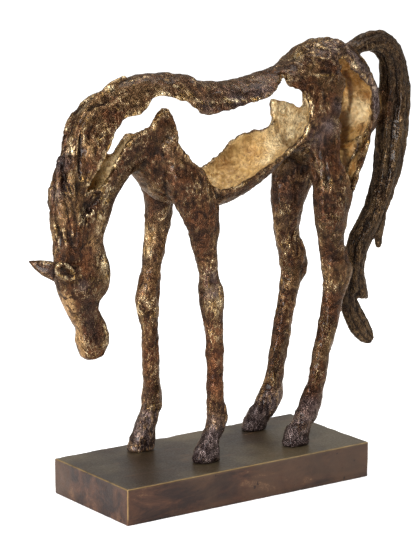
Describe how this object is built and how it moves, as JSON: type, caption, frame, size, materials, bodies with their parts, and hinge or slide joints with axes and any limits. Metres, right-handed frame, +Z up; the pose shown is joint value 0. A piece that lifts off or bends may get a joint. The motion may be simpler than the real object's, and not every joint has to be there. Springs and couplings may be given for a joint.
{
  "type": "grazing horse sculpture",
  "caption": "Standing horse with lowered head, cast as a thin torn shell open at neck, barrel and haunch, on a low rectangular plinth.",
  "frame": {"origin": "middle of the plinth's underside", "axes": "+Z up; the horse's head points to -X, its tail to +X, its own left side to -Y"},
  "size_m": [0.4113, 0.124, 0.4132],
  "materials": {
    "cast_bronze": "rough cast, dark brown patina with tan and gold dry brushing; gold leaf on the inside of the shell",
    "brown_base": "satin dark brown, mottled, with brass-coloured worn edges"
  },
  "bodies": {
    "root": {"horse": "cast_bronze", "plinth": "brown_base"}
  },
  "joints": []
}
